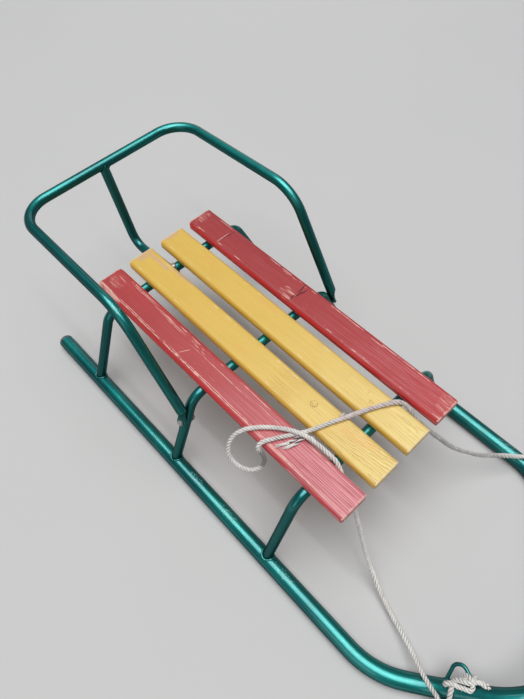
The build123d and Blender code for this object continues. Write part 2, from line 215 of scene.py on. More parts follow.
def tubeInto(tubes, places, radii, sides, axis=None, reach=1):
    mesh, lay, out = tubes
    frames = framesAlong(places)
    rings = []
    lengths = []
    for i, (place, way, across, up) in enumerate(frames):
        lengths.append(lengths[-1] + (place - frames[i - 1][0]).length if i else 0)
        ring = []
        for k in range(sides):
            turn = math.tau * k / sides
            vertex = mesh.verts.new(place + (across * math.cos(turn) + up * math.sin(turn)) * radii[i])
            vertex[out] = min(1, (vertex.co - axis[i]).length / reach) if axis else 1
            ring.append(vertex)
        rings.append(ring)
    around = math.tau * sum(radii) / len(radii)
    for i, (ring, after) in enumerate(zip(rings, rings[1:])):
        for k in range(sides):
            face = mesh.faces.new((ring[k], ring[(k + 1) % sides], after[(k + 1) % sides], after[k]))
            face.smooth = True
            spots = ((k, i), (k + 1, i), (k + 1, i + 1), (k, i + 1))
            for loop, (column, row) in zip(face.loops, spots):
                loop[lay].uv = (around * column / sides, lengths[row])
    for ring, flip in ((rings[0], True), (rings[-1], False)):
        face = mesh.faces.new(ring[::-1] if flip else ring)
        face.smooth = True


# How much looser the strands lie at a place
def slackAt(place, loose):
    slack = 0
    for centre, reach, extra in loose:
        slack = max(slack, extra * (1 - ((place - Vector(centre)).length / reach) ** 2))
    return slack


def layRope(tubes, places, look, luck, loose=()):
    frames = framesAlong(places)
    slack = [slackAt(place, loose) for place in places]
    for strand in range(look["strands"]):
        turn = math.tau * strand / look["strands"]
        wander = luck.uniform(0, 6)
        centres = []
        radii = []
        for i, (place, way, across, up) in enumerate(frames):
            if i:
                run = (place - frames[i - 1][0]).length
                turn += math.tau * run / (look["pitch"] * (1 + 0.5 * slack[i]))
            # two slow waves everywhere, two quicker ones where the rope is loose
            ripple = 0.05 * math.sin(i * 0.11 + wander) + 0.04 * math.sin(i * 0.047 + 2 * wander)
            wave = 0.3 * math.sin(i * 0.29 + 3 * wander) + 0.22 * math.sin(i * 0.53 + 5 * wander)
            offset = look["strandOffset"] * (1 + ripple + slack[i] * (0.45 + wave))
            centres.append(place + (across * math.cos(turn) + up * math.sin(turn)) * offset)
            radii.append(look["strandRadius"] * (1 + 0.6 * ripple + 0.12 * slack[i]))
        tubeInto(tubes, centres, radii, look["sides"], places, look["strandOffset"] + look["strandRadius"])


def finishPiece(tubes, name):
    data = bpy.data.meshes.new(name)
    tubes[0].to_mesh(data)
    tubes[0].free()
    return addObject(name, data)


def addHairs(tubes, places, look, luck):
    frames = framesAlong(places)
    for _ in range(look["hairs"]):
        place, way, across, up = frames[luck.randrange(2, len(frames) - 2)]
        turn = luck.uniform(0, math.tau)
        out = across * math.cos(turn) + up * math.sin(turn)
        reach = look["hairLength"] * luck.uniform(0.25, 1)
        lean = luck.uniform(-1.5, 1.5)
        root = place + out * (look["strandOffset"] + 0.5 * look["strandRadius"])
        curl = way.cross(out) * luck.uniform(-0.5, 0.5)
        hair = [root]
        for share in (1 / 3, 2 / 3, 1):
            hair.append(root + (out * 0.45 * share + way * lean * 0.5 * share + curl * share**2) * reach)
        if min(point.z for point in hair) > 0.0006:  # none through the floor
            tubeInto(tubes, hair, [look["hairRadius"] * w for w in (1, 0.9, 0.7, 0.3)], 3)


# A bundle of yarns that fan out along a line. Its look is how many, their radius, the spread at the root
# and at the tip, the height of the pile, the waver and the step.
def fanInto(tubes, points, look, luck):
    yarns, yarnRadius, rootSpread, tipSpread, pile, waver, step = look
    places, length = evenly(smoothLine([Vector(point) for point in points], "fanLine"), step)
    frames = framesAlong(places)
    upward = Vector((0, 0, 1))
    for _ in range(yarns):
        count = max(4, int(len(frames) * luck.uniform(0.5, 1)))
        side, lift = luck.uniform(-1, 1), luck.uniform(0, 1)
        wave, phase = luck.uniform(0.5, 1.3), luck.uniform(0, 6)
        yarn = []
        for i, (place, way, across, up) in enumerate(frames[:count]):
            fan = rootSpread + (tipSpread - rootSpread) * (i / len(frames)) ** 1.3
            shift = side * fan + waver * math.sin(wave * i + phase)
            yarn.append(place + upward.cross(way).normalized() * shift + upward * lift * pile)
        radii = [yarnRadius * (1 - 0.5 * (i / count) ** 3) for i in range(count)]
        tubeInto(tubes, yarn, radii, 5)


routePlaces = [Vector(point) for point in knotEnd]
routePlaces += [Vector((x + sled["slatRear"], y, z)) for x, y, z in ropeRoute]
routePlaces += [Vector((x, -y, z)) for x, y, z in knotEnd[::-1]]
ropePath, ropeLength = evenly(smoothLine(routePlaces, "ropeLine"), rope["step"])
ropeTubes = startTubes()
layRope(ropeTubes, ropePath, rope, random.Random(5), rope["loose"])
towRope = finishPiece(ropeTubes, "towRope")
hairTubes = startTubes()
addHairs(hairTubes, ropePath, rope, random.Random(6))
ropeHairs = finishPiece(hairTubes, "ropeHairs")
print("rope laid,", round(ropeLength, 4), "m")

# Knots beside the eyes, by (forward, distance, angle) in mm and degrees round the bow: the rope comes in
# over the bow, goes once round the eye's front leg, back below, round itself, and out over the top
knotLook = {
    **rope,
    "strandRadius": 0.00166,
    "strandOffset": 0.00158,
    "step": 0.0011,
    "route": [
        (-5.8, 18.3, 80), (-4.6, 18.4, 68), (-2.6, 18.6, 58), (1.5, 18.8, 52), (7, 18.6, 48), (12.5, 18.4, 43),
        (18.4, 18.2, 36), (20.4, 18.4, 20), (17.6, 18.6, 0), (11.6, 19.6, -4), (7.2, 20.2, 12), (9.2, 21.6, 32),
        (15.5, 23, 44), (19.6, 21, 58), (20, 17.6, 74), (16.4, 16.6, 86), (10, 17.6, 82), (4, 18.4, 79),
        (-1.5, 19.6, 77), (-5.5, 23.4, 76), (-11.5, 25.2, 79), (-15, 20, 80), (-12.6, 15.6, 72),
        (-7, 15.9, 60), (-3, 20, 60), (1.5, 23.6, 62), (8, 23.8, 65), (14.5, 23.4, 68), (19.5, 21.6, 60),
        (23, 18.4, 47), (27.5, 17, 40), (32.5, 16.4, 45), (36.5, 16.2, 56),
    ],
    "loose": ((34, 16.5, 50), 0.012, 0.6),
    "fan": [(35.5, 16.6, 53), (37.8, 16.6, 60), (39.6, 16, 68)],
    "fanLook": (12, 0.0004, 0.0016, 0.0034, 0.0014, 0.0003, 0.0008),
    "hairs": 200,
    "hairRadius": 0.00008,
}


def makeKnot(name, side, luck):
    look = knotLook

    def placed(forward, distance, angle):
        return besideBow(side, forward / 1000, distance / 1000, angle)

    places, length = evenly(smoothLine([placed(*spot) for spot in look["route"]], name + "Line"), look["step"])
    centre, reach, extra = look["loose"]
    tubes = startTubes()
    layRope(tubes, places, look, luck, [(placed(*centre), reach, extra)])
    fanInto(tubes, [placed(*spot) for spot in look["fan"]], look["fanLook"], luck)
    addHairs(tubes, places, look, luck)
    return finishPiece(tubes, name)


knots = {"right": makeKnot("knotRight", -1, random.Random(11)), "left": makeKnot("knotLeft", 1, random.Random(12))}

# Loose ends on the seat: two strands that stay twisted and open into yarns, and small tufts
frays = {
    "tail": {**rope, "strands": 2, "strandRadius": 0.00118, "strandOffset": 0.00112, "pitch": 0.021, "sides": 7},
    "open": (13, 0.0004, 0.0014, 0.003, 0.0016, 0.0004, 0.0012),
    "tuft": (14, 0.00034, 0.0005, 0.0024, 0.0022, 0.0005, 0.001),
    # how far each tail stays twisted, in points, then its line in mm
    "tails": [
        (5, [(53.5, -69, 178.5), (48.3, -77.5, 177.9), (46.6, -84, 177.6), (45.7, -91.3, 177.6),
             (43, -99, 177.5), (38.5, -106.8, 176.5), (32.5, -114, 176.3)]),
        (4, [(55, -70, 178.5), (52.2, -80, 177.8), (52.4, -87.5, 177.6), (50.8, -95.2, 177.5),
             (47.2, -102.3, 176.5), (43.6, -110.5, 176.3)]),
    ],
    "tufts": [
        [(57, -71.5, 178.5), (61.5, -68.5, 179.5), (65, -66.5, 179)],
        [(66.9, -18.2, 179.5), (66.8, -12.8, 181.2), (69, -8.5, 179)],
        [(97, 40.1, 179.5), (99, 44.8, 181.2), (104.5, 45.6, 179.5)],
    ],
}


def makeFrays(name, luck):
    tubes = startTubes()
    for kept, points in frays["tails"]:
        line = [Vector(point) / 1000 for point in points]
        places, length = evenly(smoothLine(line[:kept], "tailLine"), frays["tail"]["step"])
        layRope(tubes, places, frays["tail"], luck, [(places[-1], 0.012, 0.5)])
        fanInto(tubes, [places[-4], *line[kept:]], frays["open"], luck)
    for points in frays["tufts"]:
        fanInto(tubes, [Vector(point) / 1000 for point in points], frays["tuft"], luck)
    return finishPiece(tubes, name)


frayed = makeFrays("ropeFrays", random.Random(3))
ropePieces = [towRope, ropeHairs, frayed, *knots.values()]
for piece in ropePieces:
    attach(piece, "root")
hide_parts("tow_rope")
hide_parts("rope_knot_right")
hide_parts("rope_knot_left")
print("knots and frayed ends made")

# Bolts, screws and weld beads. Each is modelled once, upright at the origin, then copied to its places.
fasteners = {
    "boltHead": (0.005, 0.003, 0.0024),  # radius, height, rounding
    "boltShank": 0.003,
    "threadDepth": 0.00045,
    "threadPitch": 0.001,
    "threadTurns": 8,
    "grip": 0.02,
    "nut": (0.01, 0.005),  # across its flats, height
    "nutChamfer": (1.12, 0.16),  # its width as a share of the flats, its depth as a share of the height
    "boltTip": 0.002,
    "tipChamfer": 0.0004,
    "loopBolts": {"loop_bolt_right": -1, "loop_bolt_left": 1},
    "loopBoltHeight": 0.105,
    "loopBoltOut": 0.012,
    "strutBoltHead": (-0.3287, -0.002, 0.159),
    "screwHead": (0.0045, 0.0025, 0.0018),
    "recess": (0.0048, 0.001, 0.0013),  # length, width, depth
    "screwShank": (0.00225, 0.026),
    "barUnder": 0.143,
}


def selectOnly(*pieces):
    bpy.ops.object.select_all(action="DESELECT")
    for piece in pieces:
        piece.select_set(True)
    bpy.context.view_layer.objects.active = pieces[0]


def startEdit(piece, kind, test):
    selectOnly(piece)
    bpy.ops.object.mode_set(mode="EDIT")
    bpy.ops.mesh.select_mode(type=kind)
    bpy.ops.mesh.select_all(action="DESELECT")
    mesh = bmesh.from_edit_mesh(piece.data)
    for part in mesh.faces if kind == "FACE" else mesh.edges:
        if test(part):
            part.select_set(True)
    bmesh.update_edit_mesh(piece.data)


def endEdit(piece):
    bpy.ops.object.mode_set(mode="OBJECT")
    piece.select_set(False)


def addDisc(name, sides, radius, low, high):
    middle = (0, 0, (low + high) / 2)
    bpy.ops.mesh.primitive_cylinder_add(vertices=sides, radius=radius, depth=high - low, location=middle)
    piece = bpy.context.object
    piece.name = name
    bpy.ops.object.transform_apply(location=True)
    return piece


def roundRim(piece, height, amount, segments):
    startEdit(piece, "EDGE", lambda edge: all(abs(vertex.co.z - height) < 1e-6 for vertex in edge.verts))
    bpy.ops.mesh.bevel(offset=amount, segments=segments, profile=0.5)
    endEdit(piece)


def applyModifiers(piece):
    selectOnly(piece)
    for modifier in [modifier.name for modifier in piece.modifiers]:
        bpy.ops.object.modifier_apply(modifier=modifier)
    piece.select_set(False)


def cutWith(piece, cutter, operation):
    modifier = piece.modifiers.new("cut", "BOOLEAN")
    modifier.operation = operation
    modifier.solver = "EXACT"
    modifier.object = cutter
    applyModifiers(piece)
    bpy.data.objects.remove(cutter)


def joined(pieces, name):
    selectOnly(*pieces)
    if len(pieces) > 1:
        bpy.ops.object.join()
    bpy.ops.object.shade_smooth_by_angle(angle=math.radians(38))
    whole = bpy.context.object
    whole.name = name
    whole.select_set(False)
    return whole


def copied(model, name, matrices):
    copies = []
    for matrix in matrices:
        copy = addObject(name, model.data.copy())
        copy.data.transform(matrix)
        copies.append(copy)
    return copies[0] if len(copies) == 1 else joined(copies, name)


def standing(place, upwards, across):
    up = Vector(upwards).normalized()
    along = Vector(across)
    along = (along - up * along.dot(up)).normalized()
    matrix = Matrix((along, up.cross(along), up)).transposed().to_4x4()
    matrix.translation = Vector(place)
    return matrix


# The profile of one thread, turned and raised by a Screw modifier
def addThread(name, radius, depth, pitch, turns, low):
    profile = bpy.data.meshes.new(name)
    inner = radius - depth
    spots = [(inner, 0, low), (radius, 0, low + pitch * 0.42), (radius, 0, low + pitch * 0.58), (inner, 0, low + pitch)]
    profile.from_pydata(spots, [(0, 1), (1, 2), (2, 3)], [])
    piece = addObject(name, profile)
    modifier = piece.modifiers.new("thread", "SCREW")
    modifier.steps = modifier.render_steps = 28
    modifier.iterations = turns
    modifier.screw_offset = pitch
    modifier.use_merge_vertices = True
    modifier.merge_threshold = 0.00001
    applyModifiers(piece)
    startEdit(piece, "FACE", lambda face: True)
    bpy.ops.mesh.remove_doubles(threshold=0.00001)
    bpy.ops.mesh.normals_make_consistent(inside=False)
    endEdit(piece)
    return piece


def makeBolt():
    look = fasteners
    radius, height, rounding = look["boltHead"]
    head = addDisc("boltHead", 36, radius, 0, height)
    roundRim(head, height, rounding, 5)
    wide, thick = look["nut"]
    chamferWide, chamferDeep = look["nutChamfer"]
    nutTop = -look["grip"]
    nutEnd = nutTop - thick
    nut = addDisc("nut", 6, wide / 2 / math.cos(math.pi / 6), nutEnd, nutTop)
    chamfer = addDisc("nutChamfer", 48, wide / 2 * chamferWide, nutEnd, nutTop)
    for rim in (nutEnd, nutTop):
        roundRim(chamfer, rim, thick * chamferDeep, 2)
    cutWith(nut, chamfer, "INTERSECT")
    tip = nutEnd - look["boltTip"]
    shank = addDisc("boltShank", 24, look["boltShank"] - look["threadDepth"], tip, 0)
    roundRim(shank, tip, look["tipChamfer"], 1)
    turning = (look["threadDepth"], look["threadPitch"], look["threadTurns"])
    thread = addThread("boltThread", look["boltShank"], *turning, tip + look["tipChamfer"] / 2)
    return joined([head, nut, shank, thread], "boltModel")


def makeScrew():
    look = fasteners
    radius, height, rounding = look["screwHead"]
    head = addDisc("screwHead", 32, radius, -height, 0)
    roundRim(head, -height, rounding, 4)
    length, width, depth = look["recess"]
    for turn in (0, 90):
        bpy.ops.mesh.primitive_cube_add(size=1, location=(0, 0, -height))
        slot = bpy.context.object
        slot.scale = (length, width, depth * 2)
        slot.rotation_euler = (0, 0, math.radians(turn))
        bpy.ops.object.transform_apply(location=True, rotation=True, scale=True)
        startEdit(slot, "FACE", lambda face: face.normal.z > 0.9)
        bpy.ops.transform.resize(value=(0.45, 0.45, 1))
        endEdit(slot)
        cutWith(head, slot, "DIFFERENCE")
    shankRadius, shankLength = look["screwShank"]
    shank = addDisc("screwShank", 20, shankRadius, 0, shankLength)
    roundRim(shank, shankLength, shankRadius * 0.7, 2)
    return joined([head, shank], "screwModel")


boltModel = makeBolt()
screwModel = makeScrew()
lean = sled["legLean"]
fixings = []
for name, side in fasteners["loopBolts"].items():
    outward = Vector((0, side * math.cos(lean), math.sin(lean)))
    reach = sled["halfGauge"] - (fasteners["loopBoltHeight"] - sled["runnerRadius"]) * math.tan(lean)
    place = Vector((sled["hoops"]["middle"], side * reach, fasteners["loopBoltHeight"]))
    place += outward * fasteners["loopBoltOut"]
    bolt = copied(boltModel, name.replace("loop_bolt", "loopBolt"), [standing(place, outward, (1, 0, 0))])
    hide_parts(name)
    fixings.append(bolt)
bolt = copied(boltModel, "strutBolt", [standing(fasteners["strutBoltHead"], (0, 0, 1), (0, 1, 0))])
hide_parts("strut_bolt")
fixings.append(bolt)
luck = random.Random(21)
for place, x in sled["hoops"].items():
    spots = []
    for y in sled["rows"].values():
        turn = luck.uniform(0, math.tau)
        spots.append(standing((x, y, fasteners["barUnder"]), (0, 0, 1), (math.cos(turn), math.sin(turn), 0)))
    screws = copied(screwModel, "slatScrews" + place.capitalize(), spots)
    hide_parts("slat_screws_" + place)
    fixings.append(screws)
for model in (boltModel, screwModel):
    bpy.data.objects.remove(model)
for piece in fixings:
    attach(piece, "root")
print("bolts and screws made")

# Weld beads: a rippled ring round a leg, settled on the tube that carries it
beads = {
    "foot": {"radius": 0.0093, "thick": 0.0019, "ripples": 17, "tube": 0.0127},
    "strut": {"radius": 0.0086, "thick": 0.0014, "ripples": 15, "tube": 0.0086},
    "eye": {"radius": 0.0032, "thick": 0.0011, "ripples": 8, "tube": 0.0126},
    "strutTop": (-0.4817, -0.002, 0.283),
    "strutWay": (0.037, 0, -0.156),
    "eyeFeet": ((0.0175, 0.012, 15), (0.006, 0.0315, 15)),  # forward, distance and angle at the foot and the top
}


def addBead(name, look, place, legWay, tubePlace, tubeWay, luck):
    radius, thick = look["radius"], look["thick"]
    bpy.ops.mesh.primitive_torus_add(major_segments=48, minor_segments=10, major_radius=radius, minor_radius=thick)
    bead = bpy.context.object
    bead.name = name
    up = Vector(legWay).normalized()
    tubeWay = Vector(tubeWay).normalized()
    matrix = standing(place, up, tubeWay)
    climb = up - tubeWay * up.dot(tubeWay)
    phase = luck.uniform(0, 6)
    for vertex in bead.data.vertices:
        turn = math.atan2(vertex.co.y, vertex.co.x)
        ring = Vector((math.cos(turn), math.sin(turn), 0)) * radius
        swell = 1 + 0.1 * math.sin(look["ripples"] * turn + phase) + 0.07 * math.sin(3.3 * turn + 2 * phase)
        core = matrix @ ring
        off = core - Vector(tubePlace)
        off -= tubeWay * off.dot(tubeWay)
        # how far along the leg the ring meets the tube
        a, b, c = climb.dot(climb), 2 * off.dot(climb), off.dot(off) - look["tube"] ** 2
        rise = (-b + math.sqrt(max(0, b * b - 4 * a * c))) / (2 * a)
        vertex.co = core + up * rise + matrix.to_3x3() @ ((vertex.co - ring) * swell)
    soft = bead.modifiers.new("soft", "SUBSURF")
    soft.levels = soft.render_levels = 1
    applyModifiers(bead)
    return bead


beadLuck = random.Random(31)
welds = []
for place, x in sled["hoops"].items():
    pair = []
    for side in (-1, 1):
        foot = (x, side * sled["halfGauge"], sled["runnerRadius"])
        legWay = (0, -side * math.sin(lean), math.cos(lean))
        pair.append(addBead("footWeld", beads["foot"], foot, legWay, foot, (1, 0, 0), beadLuck))
    weld = joined(pair, "footWelds" + place.capitalize())
    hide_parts("foot_welds_" + place)
    welds.append(weld)
top = beads["strutTop"]
bead = addBead("strutWeld", beads["strut"], top, beads["strutWay"], top, (0, 1, 0), beadLuck)
welds.append(joined([bead], "strutWeld"))
for name, side in (("Right", -1), ("Left", 1)):
    pair = []
    (forward, foot, angle), (topForward, high, topAngle) = beads["eyeFeet"]
    axis = besideBow(side, 0, 0, 0)
    bowWay = besideBow(side, 1, 0, 0) - axis
    for sign in (-1, 1):
        root = besideBow(side, sign * forward, foot, angle)
        tip = besideBow(side, sign * topForward, high, topAngle)
        pair.append(addBead("eyeWeld", beads["eye"], root, tip - root, axis, bowWay, beadLuck))
    welds.append(joined(pair, "eyeWelds" + name))
for piece in welds:
    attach(piece, "root")
print("weld beads made")


# Small helpers for shader nodes. Each finds the node tree from a socket that it is given.
def isSocket(value):
    return isinstance(value, bpy.types.NodeSocket)


def source(tree, kind, **settings):
    made = tree.nodes.new("ShaderNode" + kind)
    for name, value in settings.items():
        setattr(made, name, value)
    return made


def feed(made, inputs):
    for name, value in inputs.items():
        socket = made.inputs[name]
        if isSocket(value):
            made.id_data.links.new(value, socket)
        else:
            socket.default_value = (*value, 1) if socket.type == "RGBA" else value


def node(kind, inputs, **settings):
    tree = next(value.id_data for value in inputs.values() if isSocket(value))
    made = source(tree, kind, **settings)
    feed(made, inputs)
    return made


def calc(operation, *values):
    return node("Math", dict(enumerate(values)), operation=operation).outputs[0]


def chained(operation, *values):
    return reduce(partial(calc, operation), values)


times = partial(chained, "MULTIPLY")
plus = partial(chained, "ADD")
minus = partial(chained, "SUBTRACT")
most = partial(chained, "MAXIMUM")


def between(value, low, high):
    ends = {"Value": value, "From Min": low, "From Max": high}
    return node("MapRange", ends, interpolation_type="SMOOTHSTEP").outputs[0]


def scaled(value, low, high, toLow, toHigh):
    ends = {"Value": value, "From Min": low, "From Max": high, "To Min": toLow, "To Max": toHigh}
    return node("MapRange", ends).outputs[0]


def mixed(amount, first, second):
    return node("Mix", {0: amount, 6: first, 7: second}, data_type="RGBA").outputs[2]


def vector(operation, *values):
    return node("VectorMath", dict(enumerate(values)), operation=operation)


def split(where):
    return node("SeparateXYZ", {0: where}).outputs


def laid(where, stretch, centre=(0, 0, 0), turn=0):
    moved = vector("SUBTRACT", where, centre).outputs[0]
    if turn:
        moved = node("Mapping", {"Vector": moved, "Rotation": (0, 0, -math.radians(turn))}).outputs[0]
    return vector("MULTIPLY", moved, stretch).outputs[0]


def farFrom(where, stretch, centre, turn=0):
    return vector("LENGTH", laid(where, stretch, centre, turn)).outputs[1]


def spot(where, centre, size, turn=0, soft=0.4):
    return between(farFrom(where, tuple(1 / measure for measure in size), centre, turn), 1, soft)


def grainy(where, scale, detail=3, roughness=0.5):
    inputs = {"Vector": where, "Scale": scale, "Detail": detail, "Roughness": roughness}
    return node("TexNoise", inputs).outputs[0]


# Noise with its own scale along each axis
def streaky(where, scales, detail=3, roughness=0.5, centre=(0, 0, 0), turn=0):
    return grainy(laid(where, scales, centre, turn), 1, detail, roughness)


def bumped(height, distance):
    return node("Bump", {"Height": height, "Distance": distance}).outputs[0]


def startMaterial(name):
    material = bpy.data.materials.new(name)
    material.use_nodes = True
    tree = material.node_tree
    tree.nodes.clear()
    shader = source(tree, "BsdfPrincipled")
    feed(source(tree, "OutputMaterial"), {"Surface": shader.outputs[0]})
    return material, shader, source(tree, "TexCoord").outputs["Object"]


def dress(names, material):
    for name in names:
        for slot in nodes[name].material_slots:
            slot.material = material


def coat(pieces, material):
    for piece in pieces:
        piece.data.materials.clear()
        piece.data.materials.append(material)


# Metallic teal enamel of the tubes
enamel = {
    "tubes": [
        "runner_tube", "hoop_rear", "hoop_middle", "hoop_front", "backrest_loop", "backrest_strut",
        "tow_eye_right", "tow_eye_left",
    ],
    "deep": (0.005, 0.17, 0.175),
    "light": (0.012, 0.3, 0.28),
    # colour of the painted shade on the sides and steep tubes
    "paintedShade": (0.003, 0.055, 0.052),
    "dirt": (0.05, 0.055, 0.05),
    "chip": (0.4, 0.66, 0.66),
    "steel": (0.3, 0.29, 0.28),
    "rust": (0.16, 0.06, 0.025),
    "metallic": 0.94,
    "roughness": 0.4,
    "edgeTint": (0.02, 0.3, 0.32),
    "coat": 0.8,
    "coatRoughness": 0.12,
    "coatIor": 1.6,
    # chipped places: centre, size
    "chips": [
        ((0.018, -0.197, 0.025), (0.045, 0.012, 0.01)),
        ((0.137, -0.197, 0.025), (0.036, 0.012, 0.01)),
        ((-0.06, -0.197, 0.025), (0.03, 0.01, 0.008)),
        ((-0.215, -0.161, 0.292), (0.022, 0.01, 0.012)),
        ((0.5, 0.06, 0.104), (0.02, 0.04, 0.015)),
        ((0.25, 0.199, 0.024), (0.05, 0.012, 0.01)),
    ],
    # painted shade on the sides and steep tubes, darker the less they face up: none, full, how much
    "darkening": (0.8, 0.28, 0.74),
    "rubbed": (0.003, 0.0012),  # height above the ground where the soles are worn: none, bare
    "relief": 0.00025,
}


def enamelPaint():
    material, shader, where = startMaterial("tealEnamel")
    cloudy = grainy(where, 9)
    paint = mixed(between(cloudy, 0.35, 0.65), enamel["deep"], enamel["light"])
    fleck = grainy(where, 900, 2)
    paint = mixed(scaled(fleck, 0.3, 0.7, 0, 0.25), paint, enamel["light"])
    # painted shade: darker paint and a weaker coat where the surface faces away from up
    none, full, amount = enamel["darkening"]
    facing = split(source(material.node_tree, "NewGeometry").outputs["Normal"])[2]
    paintedShade = times(between(facing, none, full), amount)
    paint = mixed(paintedShade, paint, enamel["paintedShade"])
    dust = grainy(where, 34, 5, 0.65)
    paint = mixed(times(between(dust, 0.54, 0.74), 0.25), paint, enamel["dirt"])
    # flakes off in the chipped places, fine scratches along, bare soles
    chipped = most(*[spot(where, centre, size) for centre, size in enamel["chips"]])
    flakes = grainy(laid(where, (0.35, 1, 1)), 800, 3, 0.6)
    chips = between(minus(flakes, scaled(chipped, 0, 1, 0.8, 0.585)), 0, 0.03)
    scratches = times(between(streaky(where, (12, 900, 900), 2), 0.7, 0.76), 0.3)
    rubbed = plus(split(where)[2], scaled(dust, 0, 1, -0.0012, 0.0012))
    bare = between(rubbed, *enamel["rubbed"])
    paint = mixed(most(scratches, chips), paint, enamel["chip"])
    rusty = between(grainy(where, 160, 4, 0.6), 0.48, 0.62)
    paint = mixed(bare, paint, mixed(rusty, enamel["steel"], enamel["rust"]))
    worn = most(chips, times(bare, rusty))
    rough = scaled(dust, 0.3, 0.8, enamel["roughness"] - 0.04, enamel["roughness"] + 0.1)
    height = plus(times(grainy(where, 260), 0.35), times(chips, -0.6), times(grainy(where, 28, 2), 1.4))
    feed(shader, {
        "Base Color": paint,
        "Metallic": scaled(worn, 0, 1, enamel["metallic"], 0),
        "Roughness": plus(rough, times(most(worn, bare), 0.25)),
        "Specular Tint": enamel["edgeTint"],
        "Coat Weight": times(minus(1, paintedShade), enamel["coat"]),
        "Coat Roughness": enamel["coatRoughness"],
        "Coat IOR": enamel["coatIor"],
        "Normal": bumped(height, enamel["relief"]),
    })
    return material


tealEnamel = enamelPaint()
dress(enamel["tubes"], tealEnamel)
coat(welds, tealEnamel)
print("enamel on the tubes")

# Paint on the slats, marks placed by (along from the rear end, across from the middle)
# The paler front colours are partly the paint's own tone and partly painted sheen
redLook = {
    "rear": (0.445, 0.043, 0.045),
    "front": (0.76, 0.265, 0.3),
    "side": (0.64, 0.022, 0.019),
    "dark": (0.33, 0.025, 0.028),
    "worn": (0.8, 0.46, 0.39),
    "grainPale": (0.76, 0.33, 0.35),
    "grainDark": (0.36, 0.04, 0.06),
}
yellowLook = {
    "rear": (0.74, 0.485, 0.09),
    "front": (0.9, 0.71, 0.255),
    "side": (0.72, 0.42, 0.045),
    "dark": (0.62, 0.38, 0.06),
    "worn": (0.88, 0.7, 0.42),
    "grainPale": (0.9, 0.74, 0.36),
    "grainDark": (0.56, 0.32, 0.075),
    "knot": (0.44, 0.25, 0.065),
    "bare": (0.64, 0.4, 0.24),
    "orange": (0.86, 0.36, 0.12),
}
slatFinish = {
    "fadeAndSheen": 3.2,  # how late the paler colour of the front sets in
    "crack": (0.05, 0.012, 0.012),
    "topToSide": (-0.0004, -0.003),
    "lowDarker": (-0.009, -0.0155),
    "knotSpread": 0.0105,  # how far the growth lines bend round a knot
    # two lines along each arris: how far inside it, shift of the noise, thickness, how much rarer
    "arrisLines": ((0, 0, 1, 0), (0.0026, 0.7, 0.6, 0.06)),
    "arrisWander": 0.003,
    "relief": 0.00022,
}
# grain: how strong at the rear and the front; edges: wear and painted highlight of the near and the far arris
# knot: along, across, size, how clear
# rings: apex along, across, half depth, slope, how fast they open, spacing, shown from, to, strength
# marks, in mm: along, across, half length, half width, turn in degrees, kind
slatLooks = {
    "slat_right_outer": {
        "paint": redLook,
        "grain": (0.06, 1),
        "edges": (0.95, 0.5),
        "scratches": 0.6,
        "marks": [
            (22, -20.5, 45, 5.2, 0, "pale"),
            (22, 2, 18, 14, 0, "scraped"),
            (75, 16.5, 35, 0.9, 0, "line"),
            (85, 19, 30, 0.9, 0, "line"),
            (160, 12, 30, 0.7, 0, "line"),
            (155, 14.5, 35, 0.9, 0, "line"),
            (270, 8.5, 78, 1, 0, "line"),
            (215, 12.5, 22, 0.8, -4, "line"),
            (380, 12.5, 40, 0.8, 0, "line"),
            (204.5, -5.5, 11, 0.9, 60, "pale"),
            # pale spots along the near arris: partly wear, partly painted highlight
            (201, -18.2, 5, 2.2, 0, "pale"),
            (220, -18.5, 7, 1.4, 0, "pale"),
            (247, -18.3, 7, 2.4, 0, "pale"),
            (357, -18, 13, 1.3, 0, "pale"),
            (432, -18.2, 16, 1.2, 0, "pale"),
            (130, 15.5, 30, 3, 0, "scraped"),
        ],
    },
    "slat_right_inner": {
        "paint": yellowLook,
        "grain": (0.1, 0.45),
        "edges": (0.25, 0.45),
        "scratches": 0.15,
        "knot": (0.402, 0.005, 0.0064, 1),
        "rings": [
            (0.412, -0.0185, 0.003, 0.006, 13, 0.0019, 0.42, 0.56, 0.8),
            (0.415, 0.001, 0.002, 0, 9, 0.0019, 0.32, 0.388, 0.95),
        ],
        "marks": [
            (6, 4, 12, 20, 0, "bare"),
            (35, 12.5, 36, 5, 0, "bare"),
            (85, 19.5, 40, 3, 0, "bare"),
            (480, 10, 40, 10, 10, "orange"),
            (260, -6, 20, 5, 0, "orange"),
            (170, -14, 30, 4, 0, "orange"),
        ],
    },
    "slat_left_inner": {
        "paint": {**yellowLook, "front": (0.92, 0.74, 0.29)},
        "grain": (0.1, 0.35),
        "edges": (0.25, 0.3),
        "scratches": 0.1,
        "knot": (0.456, -0.002, 0.0036, 0.45),
        "rings": [(0.35, 0.01, 0.004, 0.01, 5, 0.0026, 0.38, 0.56, 0.3)],
        "marks": [
            (94, 9, 20, 6, 0, "orange"),
            (230, 12, 30, 6, 0, "orange"),
            (4, 0, 6, 20, 0, "bare"),
        ],
    },
    "slat_left_outer": {
        # its darker rear is a painted shadow of the backrest
        "paint": {**redLook, "rear": (0.37, 0.034, 0.038), "front": (0.51, 0.04, 0.046)},
        "grain": (0.08, 0.4),
        "edges": (0.35, 0.6),
        "scratches": 0.3,
        "marks": [
            (70.5, -6, 1, 17, 0, "pale"),
            (73.5, 2, 0.7, 18, -8, "dark"),
            (237, -13, 15, 12, 0, "scraped"),
            (232, -8, 16, 10, 24, "scraped"),
            (245.5, 11, 1.1, 12, 8, "dark"),
            (250, 0, 1.2, 10, -4, "dark"),
            (246.5, -13, 1.1, 8, 10, "dark"),
            (253, 9, 0.8, 8, 0, "dark"),
            (10, 0, 9, 20, 0, "scraped"),
            (530, 6, 14, 18, 0, "scraped"),
        ],
    },
}


